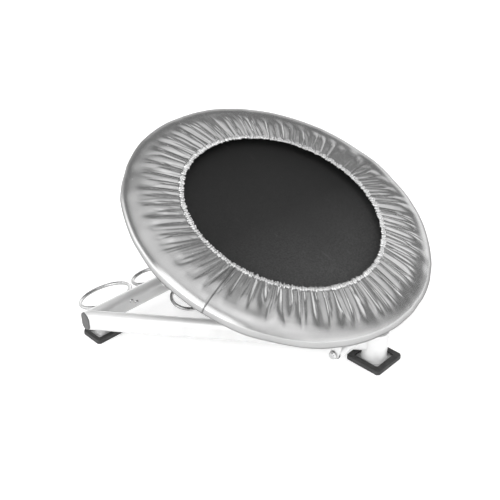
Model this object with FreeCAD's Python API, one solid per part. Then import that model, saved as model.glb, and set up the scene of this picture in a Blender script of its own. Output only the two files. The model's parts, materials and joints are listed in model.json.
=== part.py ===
import FreeCAD, Part
import math
import os
from FreeCAD import Placement, Rotation, Vector

# A tilted ball-rebound trampoline. Millimetres. +Z is up, +X is the low, front side of the bed, and the
# origin is on the floor at the middle of the whole object's outline. Right is -Y, left is +Y.

# Bed: a round frame tilted about Y, low at the front.
BED_TILT_DEG = 23.1
BED_X = 23.0
BED_Z = 357.0
COVER_R = 500.0
HEM_R = 319.0
FRAME_R = 478.0
FRAME_TUBE_R = 16.0
FRAME_WALL = 2.0
MAT_R = 366.0
MAT_THICK = 2.0
MAT_Z = 5.0
WEBBING_WIDTH = 26.0
WEBBING_THICK = 1.6
WEBBING_BEYOND = 4.0
SPRING_COUNT = 36
SPRING_COIL_R = 5.5
SPRING_COIL_INNER = 396.0
SPRING_COIL_OUTER = 452.0
SPRING_HOOK_R = 1.1
SPRING_HOOK_TIP = 388.0
V_RING_WIDTH = 30.0
V_RING_TIP = 383.0
V_RING_INSET = 8.0
V_RING_ROD_R = 1.5
FOAM_INNER_R = 338.0
FOAM_OUTER_R = 470.0
FOAM_BOTTOM = 17.0
FOAM_TOP = 27.0
COVER_THICK = 2.0
COVER_TOP = 30.0
COVER_SEAM_R = 470.0
SHOULDER_IN = 6.5
SHOULDER_Z = 16.0
LINING_IN = 8.4
LINING_Z = 14.9
NOTCH_MARGIN = 2.0
COVER_RETURN_R = 440.0
HEM_CORD_R = 3.0

# Base: a triangle of flat-oval tube with a round post at its front corner.
TUBE_WIDTH = 42.0
TUBE_HEIGHT = 66.0
TUBE_WALL = 2.5
TUBE_Z = 72.0
BAR_X = -287.4
CORNER_Y = 541.9
ARM_AIM_X = 423.0
BAR_END_Y = 554.0
TUBE_OVERRUN = 60.0
END_PLATE_THICK = 3.0
POST_X = 408.0
POST_R = 38.0
POST_WALL = 3.0
POST_TOP = 104.0
POST_CAP_THICK = 4.0
POST_CAP_ROUND = 1.5
PLATE_THICK = 5.0
PLATE_BOTTOM = 4.0
PLATE_CORNER = 4.0
FRONT_PLATE = 84.0
FRONT_TRAY = 121.0
REAR_PLATE_X = 58.0
REAR_PLATE_Y = 92.0
REAR_TRAY_X = 87.0
REAR_TRAY_Y = 119.0
REAR_FOOT_Y = 486.7
TRAY_HEIGHT = 14.0
TRAY_CORNER = 7.0
TRAY_ROUND = 2.0
STUB_X = 42.0
STUB_Y = 72.0
STUB_WALL = 2.5
STUB_CORNER = 20.5
STUB_HOLLOW_CORNER = 17.5

# Front hinge: a cross tube on the post and a lug of the bed frame at each end of it.
HINGE_Z = 129.0
CROSS_TUBE_R = 17.0
CROSS_TUBE_WALL = 3.0
CROSS_TUBE_END = 195.0
PLUG_FLANGE = 2.0
PLUG_DEPTH = 24.0
HINGE_BOLT_DEPTH = 20.0
LUG_THICK = 6.0
LUG_R = 14.5
LUG_TOP_R = 13.0
SIDE_GAP = 0.3
HINGE_PIN_R = 7.0
PIN_GAP = 0.08
WASHER_THICK = 2.0
HINGE_WASHER_R = 14.0
HINGE_HEAD_AF = 22.0
HINGE_HEAD_HEIGHT = 9.0
SADDLE_X = 44.0
SADDLE_Y = 56.0

# Rear strut: two square tubes that telescope, from the rear bar up to the bed frame.
STRUT_FOOT = Vector(-331.0, 0.0, 118.0)
STRUT_HEAD_LOCAL = Vector(-406.0, 0.0, -52.0)
OUTER_SQ = 38.0
OUTER_WALL = 2.5
OUTER_BELOW = 14.0
OUTER_ABOVE = 240.0
INNER_SQ = 32.0
INNER_WALL = 2.0
INNER_LENGTH = 272.0
INNER_BEYOND = 14.0
STRUT_CORNER_R = 4.0
STRUT_BORE_EASE = 0.5
END_CAP_THICK = 2.5
END_CAP_ROUND = 1.0
EAR_THICK = 5.0
FOOT_EAR_R = 15.0
FOOT_EAR_BAR_R = 18.0
FOOT_EAR_BAR_RISE = 16.0
HEAD_EAR_R = 17.0
HEAD_EAR_TOP_R = 13.0
HEAD_EAR_HOLE_R = 9.8
STRUT_PIN_R = 5.0
BUSH_R = 8.0
FOOT_WASHER_R = 11.5
HEAD_WASHER_R = 14.5
STRUT_HEAD_AF = 16.0
STRUT_NUT_HEIGHT = 8.0
STRUT_HEAD_HEIGHT = 6.5
THREAD_BEYOND = 2.0
KNOB_AT = 212.0
BOSS_R = 9.0
BOSS_LENGTH = 14.0
STUD_R = 5.0
STUD_CLEAR = 0.4
STUD_INTO_KNOB = 10.0
KNOB_STANDOFF = 1.0
KNOB_HUB_R = 17.02
KNOB_LOBE_AT = 14.26
KNOB_LOBE_R = 8.74
KNOB_THICK = 15.0
KNOB_LOBES = 5

# Ball rings: round rod hoops beside the rear bar. Each has its place along the bar and its droop.
ROD_R = 6.0
BIG_RING = {"radius": 86.0, "y": 409.0, "z": 75.4, "reach": 25.4, "droop": 16.3, "skew": 4.5}
SMALL_RING = {"radius": 54.0, "y": 251.0, "z": 80.0, "reach": 26.0, "droop": 13.8, "skew": 7.0}
INNER_RING = {"radius": 54.0, "y": 217.0, "z": 52.0, "reach": 36.0, "droop": 12.0, "skew": 0.0}
RINGS = (("big", BIG_RING, -1), ("small", SMALL_RING, -1), ("inner", INNER_RING, 1))
CLIP_WIDTH = 46.0
CLIP_HEIGHT = 36.0
CLIP_THICK = 3.0
CLIP_BOLT_R = 4.0
CLIP_DOME_R = 8.0
CLIP_DOME_HEIGHT = 4.4
CLIP_NUT_AF = 13.0
CLIP_NUT_HEIGHT = 6.0
CLIP_BOLTS = [(393.0, 81.0), (374.0, 68.0), (259.0, 80.0), (240.0, 67.0)]
BRACKET_WIDTH = 30.0
BRACKET_THICK = 4.0
BRACKET_BOLT_Z = 74.0
BRACKET_OVERLAP = 2.0
BRACKET_RISE = 12.0

HEX_FLAT_SHARE = 0.55
HEX_BEVEL_DROP = 0.75
BIG = 2500.0
SIDES = {"right": -1.0, "left": 1.0}
Z_AXIS = Vector(0, 0, 1)
Y_AXIS = Vector(0, 1, 0)
X_AXIS = Vector(1, 0, 0)

os.makedirs("parts", exist_ok=True)
BED = Placement(Vector(BED_X, 0, BED_Z), Rotation(Y_AXIS, BED_TILT_DEG))
HINGE = Vector(POST_X, 0, HINGE_Z)


def save(name, shape):
    """Write one sub-part, which may be a group of separate solids."""
    if isinstance(shape, list):
        shape = Part.makeCompound(shape)
    shape.exportStep(os.path.join("parts", name + ".step"))
    print(name, len(shape.Solids), "solid(s)", round(shape.Volume / 1000.0, 2), "cm3", shape.isValid())


def in_bed(shape):
    """Move a shape from the bed's own frame to the object's frame."""
    moved = shape.copy()
    moved.Placement = BED.multiply(moved.Placement)
    return moved


def half_space(point, normal):
    """A very large box on the side of the plane that the normal points to."""
    box = Part.makeBox(BIG, 2 * BIG, 2 * BIG, Vector(0, -BIG, -BIG))
    box.Placement = Placement(point, Rotation(X_AXIS, normal))
    return box


def rod_along_y(radius, y0, y1, centre):
    """A round bar along Y between two stations, through a point given in X and Z."""
    return Part.makeCylinder(radius, y1 - y0, Vector(centre.x, y0, centre.z), Y_AXIS)


def oval_prism(length, width, height):
    """A flat-oval bar along +X: upright flat sides, round top and bottom."""
    r = width / 2.0
    s = height / 2.0 - r
    wire = Part.Wire([
        Part.LineSegment(Vector(0, r, -s), Vector(0, r, s)).toShape(),
        Part.Arc(Vector(0, r, s), Vector(0, 0, s + r), Vector(0, -r, s)).toShape(),
        Part.LineSegment(Vector(0, -r, s), Vector(0, -r, -s)).toShape(),
        Part.Arc(Vector(0, -r, -s), Vector(0, 0, -s - r), Vector(0, r, -s)).toShape(),
    ])
    return Part.Face(wire).extrude(Vector(length, 0, 0))


def oval_tube(start, direction, length):
    """Solid outside and hollow inside of a base tube, placed from start along direction."""
    place = Placement(start, Rotation(X_AXIS, direction))
    outer = oval_prism(length, TUBE_WIDTH, TUBE_HEIGHT)
    inner = oval_prism(length, TUBE_WIDTH - 2 * TUBE_WALL, TUBE_HEIGHT - 2 * TUBE_WALL)
    outer.Placement = place
    inner.Placement = place
    return outer, inner


def rounded_prism(size_x, size_y, height, corner, centre, bottom):
    """An upright block with rounded vertical edges."""
    box = Part.makeBox(size_x, size_y, height, Vector(centre.x - size_x / 2, centre.y - size_y / 2, bottom))
    edges = [e for e in box.Edges if abs(e.tangentAt(e.FirstParameter).z) > 0.99]
    return box.makeFillet(corner, edges)


def chamfered_prism(size_x, size_y, height, corner, centre, bottom):
    """An upright block with chamfered vertical edges."""
    box = Part.makeBox(size_x, size_y, height, Vector(centre.x - size_x / 2, centre.y - size_y / 2, bottom))
    edges = [e for e in box.Edges if abs(e.tangentAt(e.FirstParameter).z) > 0.99]
    return box.makeChamfer(corner, edges)


def hex_prism(across_flats, height, base, direction):
    """A hexagonal head or nut standing on a plane."""
    r = across_flats / math.sqrt(3.0)
    turns = [math.radians(60 * k) for k in range(7)]
    corners = [Vector(r * math.cos(turn), r * math.sin(turn), 0) for turn in turns]
    prism = Part.Face(Part.makePolygon(corners)).extrude(Vector(0, 0, height))
    flat = height * HEX_FLAT_SHARE
    bevel = Part.makeCone(r, r - height * HEX_BEVEL_DROP, height, Vector(0, 0, flat))
    shoulder = Part.makeCylinder(r, flat).fuse(bevel)
    prism = prism.common(shoulder)
    prism.Placement = Placement(base, Rotation(Z_AXIS, direction))
    return prism


def link_plate(a, radius_a, b, radius_b, y0, thickness):
    """A flat plate in an XZ plane with round ends about two points."""
    along = (b - a).normalize()
    across = Vector(-along.z, 0, along.x)
    outline = [a + across * radius_a, b + across * radius_b, b - across * radius_b, a - across * radius_a]
    outline = [Vector(p.x, y0, p.z) for p in outline]
    web = Part.Face(Part.makePolygon(outline + outline[:1])).extrude(Vector(0, thickness, 0))
    end_a = rod_along_y(radius_a, y0, y0 + thickness, a)
    end_b = rod_along_y(radius_b, y0, y0 + thickness, b)
    return web.fuse([end_a, end_b]).removeSplitter()


def mirrored(shape):
    """The same shape on the other side of the XZ plane."""
    return shape.mirror(Vector(0, 0, 0), Y_AXIS)


def corner_frame(side):
    """Corner point, arm direction, and the direction across the mitre towards the arm."""
    corner = Vector(BAR_X, side * CORNER_Y, TUBE_Z)
    arm = (Vector(ARM_AIM_X, 0, TUBE_Z) - corner).normalize()
    inward = Vector(0, -side, 0)
    middle = (arm + inward).normalize()
    toward_arm = (arm - middle * arm.dot(middle)).normalize()
    return corner, arm, toward_arm


def build_base_tubes():
    """Rear bar and two side arms, mitred at the rear corners, with a plate over each end of the bar."""
    start = Vector(BAR_X, -CORNER_Y - TUBE_OVERRUN, TUBE_Z)
    bar_outer, bar_inner = oval_tube(start, Y_AXIS, 2 * (CORNER_Y + TUBE_OVERRUN))
    post_solid = Part.makeCylinder(POST_R, BIG, Vector(POST_X, 0, 0))
    bar = bar_outer.cut(bar_inner)
    bar_solid = bar_outer
    arm_solids = []
    for name, side in SIDES.items():
        corner, arm_dir, toward_arm = corner_frame(side)
        outward = Vector(0, side, 0)
        end = half_space(outward * BAR_END_Y, outward)
        beyond_cap = half_space(outward * (BAR_END_Y + END_PLATE_THICK), outward)
        bar_side = half_space(corner, toward_arm * -1.0)
        arm_side = half_space(corner, toward_arm)
        arm_length = (Vector(ARM_AIM_X, 0, TUBE_Z) - corner).Length
        arm_outer, arm_inner = oval_tube(corner - arm_dir * TUBE_OVERRUN, arm_dir, arm_length + TUBE_OVERRUN)
        outline = bar_outer.cut(arm_side).fuse(arm_outer.cut(bar_side))
        cap = outline.common(end).cut(beyond_cap).removeSplitter()
        save("corner_cap_" + name, cap)
        arm = arm_outer.cut(arm_inner)
        for tool in (bar_side, end, post_solid):
            arm = arm.cut(tool)
            arm_outer = arm_outer.cut(tool)
        bar = bar.cut(arm_side).cut(end)
        bar_solid = bar_solid.cut(arm_side).cut(end)
        arm_solids.append(arm_outer)
        save("side_arm_" + name, arm)
    return bar, bar_solid, arm_solids


def build_foot(name, centre, plate_size, tray_size):
    """A steel foot plate in a rubber tray."""
    x, y = plate_size
    plate = chamfered_prism(x, y, PLATE_THICK, PLATE_CORNER, centre, PLATE_BOTTOM)
    tray = chamfered_prism(tray_size[0], tray_size[1], TRAY_HEIGHT, TRAY_CORNER, centre, 0.0)
    top_edges = [e for e in tray.Edges if e.BoundBox.ZMin > TRAY_HEIGHT - 0.01]
    tray = tray.makeFillet(TRAY_ROUND, top_edges)
    recess = chamfered_prism(x, y, TRAY_HEIGHT, PLATE_CORNER, centre, PLATE_BOTTOM)
    save("foot_plate_" + name, plate)
    save("foot_tray_" + name, tray.cut(recess))


def build_posts(bar_solid, arm_solids):
    """The round front post with its cap, and the short stub under each rear corner."""
    plate_top = PLATE_BOTTOM + PLATE_THICK
    axis_point = Vector(POST_X, 0, plate_top)
    post = Part.makeCylinder(POST_R, POST_TOP - plate_top, axis_point)
    post = post.cut(Part.makeCylinder(POST_R - POST_WALL, POST_TOP, axis_point))
    save("front_post", post)
    cap = Part.makeCylinder(POST_R, POST_CAP_THICK, Vector(POST_X, 0, POST_TOP))
    rim = [e for e in cap.Edges if e.BoundBox.ZMin > POST_TOP + POST_CAP_THICK - 0.01]
    cap = cap.makeFillet(POST_CAP_ROUND, rim)
    save("front_post_cap", cap)
    for name, side in SIDES.items():
        centre = Vector(BAR_X, side * REAR_FOOT_Y, 0)
        height = TUBE_Z - plate_top
        stub = rounded_prism(STUB_X, STUB_Y, height, STUB_CORNER, centre, plate_top)
        hollow = rounded_prism(STUB_X - 2 * STUB_WALL, STUB_Y - 2 * STUB_WALL, height,
                               STUB_HOLLOW_CORNER, centre, plate_top)
        stub = stub.cut(hollow)
        for tool in [bar_solid] + arm_solids:
            stub = stub.cut(tool)
        stub = max(stub.Solids, key=lambda solid: solid.Volume)
        save("corner_post_" + name, stub)


def build_hinge():
    """Cross tube on the front post, with its saddle, end plugs, pivot bolts and washers."""
    tube = rod_along_y(CROSS_TUBE_R, -CROSS_TUBE_END, CROSS_TUBE_END, HINGE)
    plug_r = CROSS_TUBE_R - CROSS_TUBE_WALL
    bore = rod_along_y(plug_r, -CROSS_TUBE_END, CROSS_TUBE_END, HINGE)
    save("hinge_cross_tube", tube.cut(bore))
    saddle_base = POST_TOP + POST_CAP_THICK
    saddle = Part.makeBox(SADDLE_X, SADDLE_Y, HINGE_Z - saddle_base,
                          Vector(POST_X - SADDLE_X / 2, -SADDLE_Y / 2, saddle_base))
    save("hinge_saddle", saddle.cut(tube))
    plugs = []
    bolts = []
    washers = []
    face = CROSS_TUBE_END + PLUG_FLANGE
    lug_end = face + SIDE_GAP + LUG_THICK + SIDE_GAP
    head = lug_end + WASHER_THICK
    for side in SIDES.values():
        plug = rod_along_y(plug_r, CROSS_TUBE_END - PLUG_DEPTH, CROSS_TUBE_END, HINGE)
        plug = plug.fuse(rod_along_y(CROSS_TUBE_R, CROSS_TUBE_END, face, HINGE))
        plug = plug.cut(rod_along_y(HINGE_PIN_R, 0, face, HINGE)).removeSplitter()
        bolt = rod_along_y(HINGE_PIN_R, CROSS_TUBE_END - HINGE_BOLT_DEPTH, head, HINGE)
        bolt = bolt.fuse(hex_prism(HINGE_HEAD_AF, HINGE_HEAD_HEIGHT, HINGE + Vector(0, head, 0), Y_AXIS))
        washer = rod_along_y(HINGE_WASHER_R, lug_end, head, HINGE)
        washer = washer.cut(rod_along_y(HINGE_PIN_R, lug_end, head, HINGE))
        plugs.append(plug if side > 0 else mirrored(plug))
        bolts.append(bolt.removeSplitter() if side > 0 else mirrored(bolt.removeSplitter()))
        washers.append(washer if side > 0 else mirrored(washer))
    save("hinge_end_plugs", plugs)
    save("hinge_bolts", bolts)
    save("hinge_washers", washers)


def build_bed_frame():
    """The round frame tube, its front lugs and its rear ears. Returns the room they need in the skirt."""
    solid_ring = in_bed(Part.makeTorus(FRAME_R, FRAME_TUBE_R))
    hollow = in_bed(Part.makeTorus(FRAME_R, FRAME_TUBE_R - FRAME_WALL))
    save("bed_frame_tube", solid_ring.cut(hollow))
    lug_start = CROSS_TUBE_END + PLUG_FLANGE + SIDE_GAP
    lug_y = lug_start + LUG_THICK / 2
    ring_x = math.sqrt(FRAME_R ** 2 - lug_y ** 2)
    ring_point = BED.multVec(Vector(ring_x, 0, 0))
    lug = link_plate(HINGE, LUG_R, ring_point, LUG_TOP_R, lug_start, LUG_THICK).cut(solid_ring)
    lug = max(lug.Solids, key=lambda solid: solid.Volume)
    lug = lug.cut(rod_along_y(HINGE_PIN_R + PIN_GAP, 0, BIG, HINGE))
    save("hinge_lug_left", lug)
    save("hinge_lug_right", mirrored(lug))
    head = BED.multVec(STRUT_HEAD_LOCAL)
    ring_rear = BED.multVec(Vector(-FRAME_R, 0, 0))
    ear_start = INNER_SQ / 2 + SIDE_GAP * 2
    ear = link_plate(head, HEAD_EAR_R, ring_rear, HEAD_EAR_TOP_R, ear_start, EAR_THICK).cut(solid_ring)
    ear = max(ear.Solids, key=lambda solid: solid.Volume)
    ear = ear.cut(rod_along_y(HEAD_EAR_HOLE_R, 0, BIG, head))
    save("strut_ear_left", ear)
    save("strut_ear_right", mirrored(ear))
    grown = 2 * NOTCH_MARGIN
    lug_slot = link_plate(HINGE, LUG_R, ring_point, LUG_TOP_R + NOTCH_MARGIN, lug_start - NOTCH_MARGIN,
                          LUG_THICK + grown)
    ear_slot = link_plate(head, HEAD_EAR_R, ring_rear, HEAD_EAR_TOP_R + NOTCH_MARGIN,
                          ear_start - NOTCH_MARGIN, EAR_THICK + grown)
    return [lug_slot, mirrored(lug_slot), ear_slot, mirrored(ear_slot)]


def radial(shape, angle_deg):
    """A copy of a bed-frame shape turned about the bed's axis."""
    turned = shape.copy()
    turned.rotate(Vector(0, 0, 0), Z_AXIS, angle_deg)
    return turned


def build_mat():
    """Woven mat, its sewn edge webbing and the wire V rings that the springs hook into."""
    mat = Part.makeCylinder(MAT_R, MAT_THICK, Vector(0, 0, MAT_Z))
    save("jump_mat", in_bed(mat))
    webbing_r = MAT_R + WEBBING_BEYOND
    web = Part.makeCylinder(webbing_r, WEBBING_THICK, Vector(0, 0, MAT_Z - WEBBING_THICK))
    web = web.cut(Part.makeCylinder(webbing_r - WEBBING_WIDTH, BIG, Vector(0, 0, 0)))
    save("mat_webbing", in_bed(web))
    rings = []
    level = MAT_Z - WEBBING_THICK - V_RING_ROD_R
    half = V_RING_WIDTH / 2
    inner_x = MAT_R - V_RING_INSET
    for k in range(SPRING_COUNT):
        tip = Vector(V_RING_TIP, 0, level)
        corners = [Vector(inner_x, -half, level), Vector(inner_x, half, level), tip]
        sides = []
        for n in range(3):
            a = corners[n]
            b = corners[(n + 1) % 3]
            sides.append(Part.makeCylinder(V_RING_ROD_R, (b - a).Length, a, b - a))
            sides.append(Part.makeSphere(V_RING_ROD_R, a))
        ring = sides[0].fuse(sides[1:])
        rings.append(radial(ring, (k + 0.5) * 360.0 / SPRING_COUNT))
    save("mat_v_rings", in_bed(Part.makeCompound(rings)))


def build_springs():
    """One simple closed solid per spring: its coil's outline with a straight hook at each end."""
    springs = []
    level = MAT_Z - WEBBING_THICK - V_RING_ROD_R
    reach = FRAME_R - FRAME_TUBE_R - SIDE_GAP
    for k in range(SPRING_COUNT):
        coil_from = Vector(SPRING_COIL_INNER, 0, level)
        coil = Part.makeCylinder(SPRING_COIL_R, SPRING_COIL_OUTER - SPRING_COIL_INNER, coil_from, X_AXIS)
        hook_from = Vector(SPRING_HOOK_TIP, 0, level)
        hook = Part.makeCylinder(SPRING_HOOK_R, reach - SPRING_HOOK_TIP, hook_from, X_AXIS)
        springs.append(radial(coil.fuse(hook).removeSplitter(), (k + 0.5) * 360.0 / SPRING_COUNT))
    save("springs", in_bed(Part.makeCompound(springs)))


def revolved(points_and_arcs):
    """A closed ring from a profile in the XZ plane, given as edges."""
    face = Part.Face(Part.Wire(points_and_arcs))
    return face.revolve(Vector(0, 0, 0), Z_AXIS, 360)


def line(a, b):
    return Part.LineSegment(Vector(a[0], 0, a[1]), Vector(b[0], 0, b[1])).toShape()


def arc(a, mid, b):
    return Part.Arc(Vector(a[0], 0, a[1]), Vector(mid[0], 0, mid[1]), Vector(b[0], 0, b[1])).toShape()


def build_padding(slots):
    """Foam ring, gathered top panel, rim skirt round the frame tube, and the elastic in the inner hem."""
    foam = Part.makeCylinder(FOAM_OUTER_R, FOAM_TOP - FOAM_BOTTOM, Vector(0, 0, FOAM_BOTTOM))
    foam = foam.cut(Part.makeCylinder(FOAM_INNER_R, BIG, Vector(0, 0, 0)))
    save("foam_pad", in_bed(foam))
    top = COVER_TOP
    under = top - COVER_THICK
    panel = Part.makeCylinder(COVER_SEAM_R, COVER_THICK, Vector(0, 0, under))
    panel = panel.cut(Part.makeCylinder(HEM_R + 2 * HEM_CORD_R, BIG, Vector(0, 0, 0)))
    save("cover_top_panel", in_bed(panel))
    nose = COVER_R - FRAME_R
    inner_nose = nose - COVER_THICK
    bottom = -nose
    slant = math.sqrt(0.5)
    edges = [
        line((COVER_SEAM_R, under), (COVER_SEAM_R, top)),
        arc((COVER_SEAM_R, top), (COVER_R - SHOULDER_IN, SHOULDER_Z), (COVER_R, 0)),
        arc((COVER_R, 0), (FRAME_R + nose * slant, -nose * slant), (FRAME_R, bottom)),
        line((FRAME_R, bottom), (COVER_RETURN_R, bottom)),
        line((COVER_RETURN_R, bottom), (COVER_RETURN_R, bottom + COVER_THICK)),
        line((COVER_RETURN_R, bottom + COVER_THICK), (FRAME_R, bottom + COVER_THICK)),
        arc((FRAME_R, bottom + COVER_THICK), (FRAME_R + inner_nose * slant, -inner_nose * slant),
            (COVER_R - COVER_THICK, 0)),
        arc((COVER_R - COVER_THICK, 0), (COVER_R - LINING_IN, LINING_Z), (COVER_SEAM_R, under)),
    ]
    skirt = in_bed(revolved(edges))
    for slot in slots:
        skirt = skirt.cut(slot)
    save("cover_rim_skirt", max(skirt.Solids, key=lambda solid: solid.Volume))
    middle = Vector(0, 0, (top + under) / 2)
    save("hem_elastic", in_bed(Part.makeTorus(HEM_R + HEM_CORD_R, HEM_CORD_R, middle)))


def strut_place(head):
    """Frame of the strut: X along it from the foot pivot, Y across, Z out of its rear face."""
    along = (head - STRUT_FOOT).normalize()
    rear = Vector(-along.z, 0, along.x)
    return Placement(STRUT_FOOT, Rotation(along, Y_AXIS, rear, "XYZ")), (head - STRUT_FOOT).Length


def square_tube(size, wall, start, end):
    """A square tube along X with rounded edges."""
    outer = Part.makeBox(end - start, size, size, Vector(start, -size / 2, -size / 2))
    edges = [e for e in outer.Edges if abs(e.tangentAt(e.FirstParameter).x) > 0.99]
    outer = outer.makeFillet(STRUT_CORNER_R, edges)
    bore = size - 2 * wall
    inner = Part.makeBox(end - start, bore, bore, Vector(start, -bore / 2, -bore / 2))
    edges = [e for e in inner.Edges if abs(e.tangentAt(e.FirstParameter).x) > 0.99]
    return outer.cut(inner.makeFillet(STRUT_CORNER_R - wall + STRUT_BORE_EASE, edges))


def bolt_set(name, centre, half_width, washer_r):
    """A through bolt along Y with its nut and two washers."""
    seat = half_width + WASHER_THICK
    bolt = rod_along_y(STRUT_PIN_R, -seat, seat + STRUT_NUT_HEIGHT + THREAD_BEYOND, centre)
    head_seat = centre + Vector(0, -seat, 0)
    bolt = bolt.fuse(hex_prism(STRUT_HEAD_AF, STRUT_HEAD_HEIGHT, head_seat, Y_AXIS * -1.0))
    bore = rod_along_y(STRUT_PIN_R, -BIG, BIG, centre)
    nut = hex_prism(STRUT_HEAD_AF, STRUT_NUT_HEIGHT, centre + Vector(0, seat, 0), Y_AXIS)
    nut = nut.cut(bore)
    washers = []
    for start in (-seat, half_width):
        washers.append(rod_along_y(washer_r, start, start + WASHER_THICK, centre).cut(bore))
    save(name + "_bolt", bolt.removeSplitter())
    save(name + "_nut", nut)
    save(name + "_washers", washers)


def build_strut(bar_solid):
    """Telescoping rear strut, its foot ears, pivots and the lock knob."""
    head = BED.multVec(STRUT_HEAD_LOCAL)
    place, length = strut_place(head)
    outer = square_tube(OUTER_SQ, OUTER_WALL, -OUTER_BELOW, OUTER_ABOVE)
    inner = square_tube(INNER_SQ, INNER_WALL, length - INNER_LENGTH, length + INNER_BEYOND)
    outer = outer.cut(Part.makeCylinder(BUSH_R, OUTER_SQ * 2, Vector(0, -OUTER_SQ, 0), Y_AXIS))
    face = OUTER_SQ / 2
    stud_start = Vector(KNOB_AT, 0, INNER_SQ / 2)
    stud_hole = Part.makeCylinder(STUD_R + PIN_GAP, BOSS_LENGTH + STUD_INTO_KNOB, stud_start, Z_AXIS)
    boss = Part.makeCylinder(BOSS_R, BOSS_LENGTH, Vector(KNOB_AT, 0, face), Z_AXIS).cut(stud_hole)
    outer = outer.cut(stud_hole)
    inner = inner.cut(Part.makeCylinder(BUSH_R, INNER_SQ * 2, Vector(length, -INNER_SQ, 0), Y_AXIS))
    foot_side = Vector(0, -face, 0)
    foot_bush = Part.makeCylinder(BUSH_R, OUTER_SQ, foot_side, Y_AXIS)
    foot_bush = foot_bush.cut(Part.makeCylinder(STRUT_PIN_R + PIN_GAP, OUTER_SQ, foot_side, Y_AXIS))
    head_side = Vector(length, -INNER_SQ / 2, 0)
    head_bush = Part.makeCylinder(BUSH_R, INNER_SQ, head_side, Y_AXIS)
    head_bush = head_bush.cut(Part.makeCylinder(STRUT_PIN_R, INNER_SQ, head_side, Y_AXIS))
    cap_start = length + INNER_BEYOND
    cap = Part.makeBox(END_CAP_THICK, INNER_SQ, INNER_SQ, Vector(cap_start, -INNER_SQ / 2, -INNER_SQ / 2))
    rim = [e for e in cap.Edges if e.BoundBox.XMin > cap_start + END_CAP_THICK - 0.1]
    cap = cap.makeFillet(END_CAP_ROUND, rim)
    pieces = {"strut_outer_tube": outer, "strut_inner_tube": inner, "lock_boss": boss,
              "strut_foot_bush": foot_bush, "strut_head_bush": head_bush, "strut_end_cap": cap}
    pieces.update(knob_pieces(face + BOSS_LENGTH))
    for name, shape in pieces.items():
        shape.Placement = place.multiply(shape.Placement)
        save(name, shape)
    ear_start = face + SIDE_GAP
    on_bar = Vector(BAR_X, 0, TUBE_Z + FOOT_EAR_BAR_RISE)
    ear = link_plate(STRUT_FOOT, FOOT_EAR_R, on_bar, FOOT_EAR_BAR_R, ear_start, EAR_THICK)
    ear = ear.cut(bar_solid)
    ear = min(ear.Solids, key=lambda solid: (solid.CenterOfMass - STRUT_FOOT).Length)
    ear = ear.cut(rod_along_y(STRUT_PIN_R, 0, BIG, STRUT_FOOT))
    save("strut_foot_ears", [ear, mirrored(ear)])
    bolt_set("strut_foot", STRUT_FOOT, ear_start + EAR_THICK, FOOT_WASHER_R)
    bolt_set("strut_head", head, INNER_SQ / 2 + SIDE_GAP * 3 + EAR_THICK, HEAD_WASHER_R)


def knob_pieces(seat):
    """Clamp screw and its five-lobed hand knob, standing out of the strut's rear face."""
    start = INNER_SQ / 2 + STUD_CLEAR
    stud = Part.makeCylinder(STUD_R, seat + STUD_INTO_KNOB - start, Vector(KNOB_AT, 0, start), Z_AXIS)
    base = seat + KNOB_STANDOFF
    knob = Part.makeCylinder(KNOB_HUB_R, KNOB_THICK, Vector(KNOB_AT, 0, base), Z_AXIS)
    for k in range(KNOB_LOBES):
        angle = math.radians(360.0 * k / KNOB_LOBES)
        spot = Vector(KNOB_AT + KNOB_LOBE_AT * math.cos(angle), KNOB_LOBE_AT * math.sin(angle), base)
        knob = knob.fuse(Part.makeCylinder(KNOB_LOBE_R, KNOB_THICK, spot, Z_AXIS))
    bore = Part.makeCylinder(STUD_R, STUD_INTO_KNOB, Vector(KNOB_AT, 0, seat), Z_AXIS)
    knob = knob.cut(bore).removeSplitter()
    return {"lock_stud": stud, "lock_knob": knob}


def ring_solid(spec, direction, side):
    """One hoop beside the rear bar. direction is -1 behind the bar and +1 in front of it."""
    radius = spec["radius"]
    near = Vector(BAR_X + direction * spec["reach"], side * spec["y"], spec["z"])
    droop = math.radians(spec["droop"])
    outward = Vector(direction * math.cos(droop), 0, -math.sin(droop))
    skew = math.radians(spec["skew"])
    sideways = Vector(0, math.cos(skew), math.sin(skew) * -side)
    normal = outward.cross(sideways).normalize()
    return Part.makeTorus(radius, ROD_R, near + outward * radius, normal)


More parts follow.
